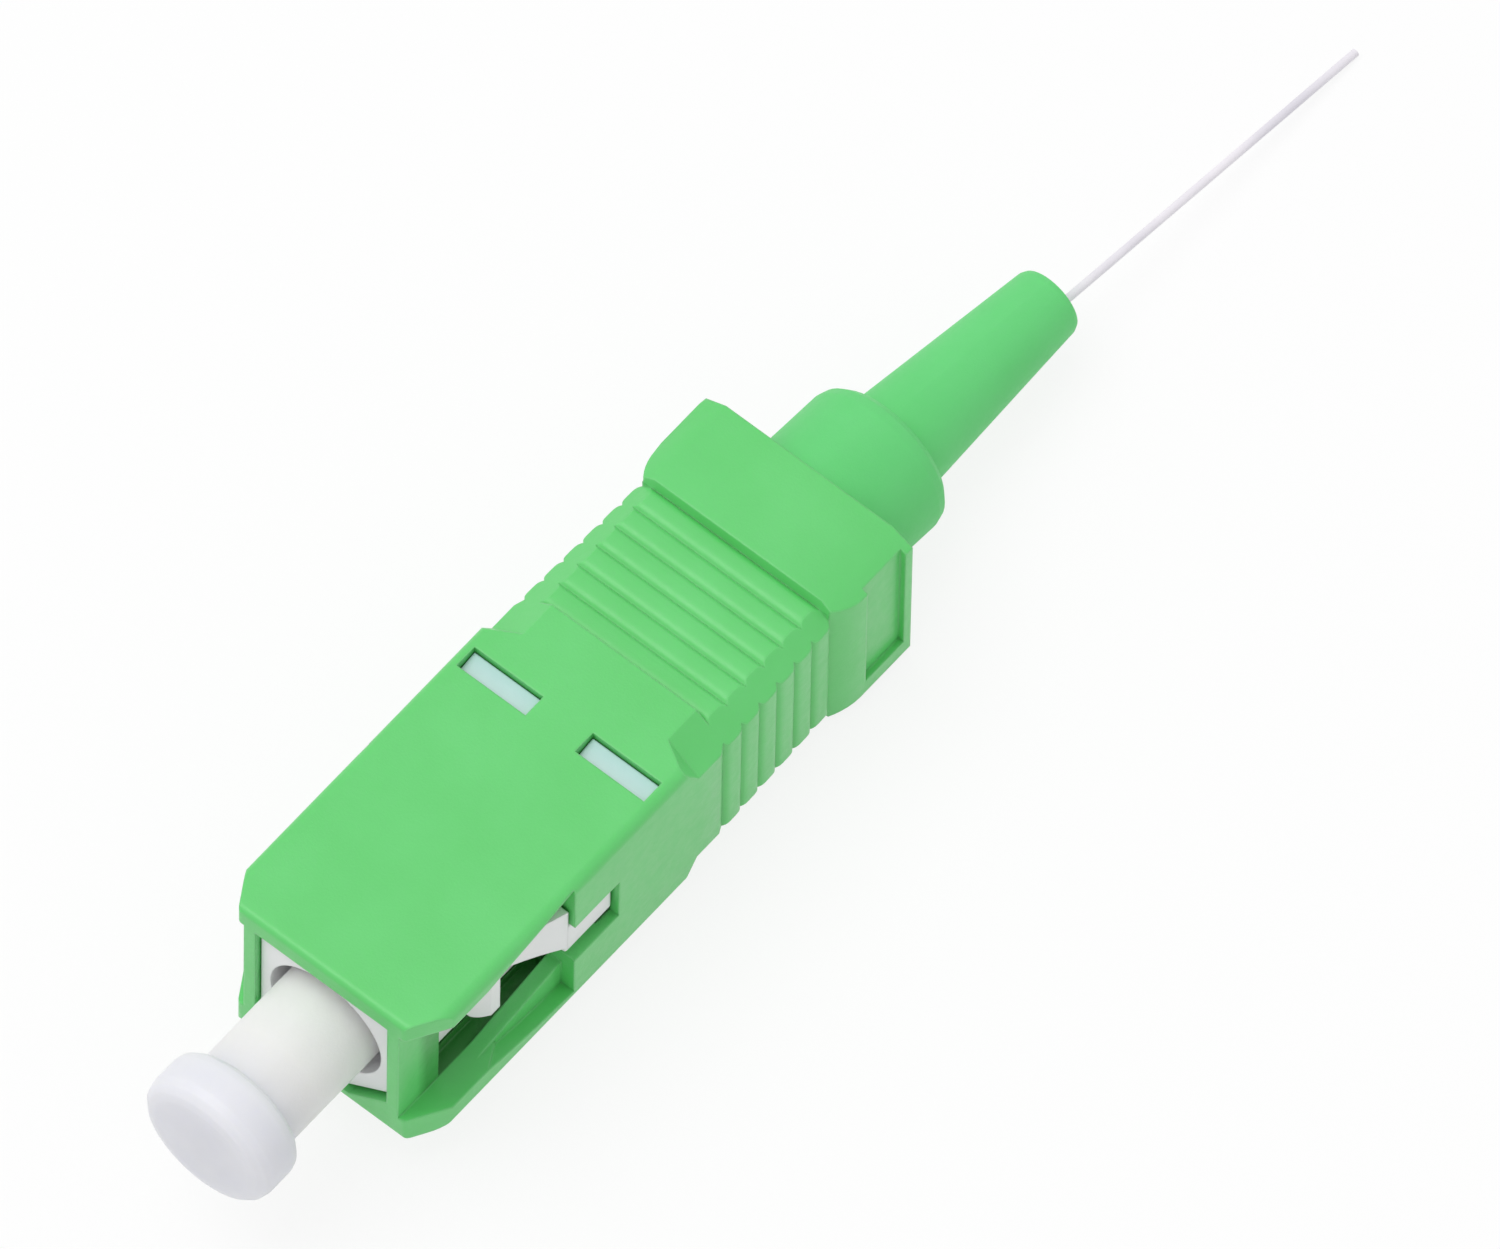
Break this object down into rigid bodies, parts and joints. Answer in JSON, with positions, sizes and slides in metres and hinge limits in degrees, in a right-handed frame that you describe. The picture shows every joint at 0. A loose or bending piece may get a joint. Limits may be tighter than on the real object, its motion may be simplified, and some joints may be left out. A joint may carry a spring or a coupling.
{
  "type": "sc fibre connector",
  "caption": "Push-pull fibre plug with angled ferrule: green ribbed grip, white plug frame, frosted dust cap, tapered boot and a bare coated fibre stub.",
  "frame": {"origin": "optical axis at the grip's front plane", "axes": "-X is the mating direction, +X runs to the boot and fibre, +Z is the broad face without the key"},
  "size_m": [0.0583, 0.009, 0.0085],
  "materials": {
    "grip_green": "fine satin moulded",
    "frame_white": "satin moulded",
    "zirconia": "polished ceramic",
    "nickel": "turned and nickel plated",
    "liner": "smooth",
    "spring_steel": "drawn wire",
    "boot_green": "soft satin",
    "fibre_coating": "clear coating",
    "cap_clear": "frosted translucent"
  },
  "bodies": {
    "grip": {"grip": "grip_green"},
    "plug": {"plug_frame": "frame_white", "stop_ring": "nickel", "boot": "boot_green", "fibre": "fibre_coating"},
    "ferrule_unit": {"ferrule": "zirconia", "ferrule_holder": "nickel", "liner_tube": "liner", "ferrule_spring": "spring_steel"},
    "cap": {"dust_cap": "cap_clear"}
  },
  "joints": [
    {"name": "grip_release", "type": "slide", "parent": "grip", "child": "plug", "axis": [-1, 0, 0], "range_m": [0, 0.0012]},
    {"name": "ferrule_float", "type": "slide", "parent": "plug", "child": "ferrule_unit", "axis": [1, 0, 0], "range_m": [0, 0.001], "stiffness_N_per_m": 1500, "deforming": ["ferrule_spring"]},
    {"name": "cap_pull", "type": "slide", "parent": "ferrule_unit", "child": "cap", "axis": [-1, 0, 0], "range_m": [0, 0.01]}
  ]
}
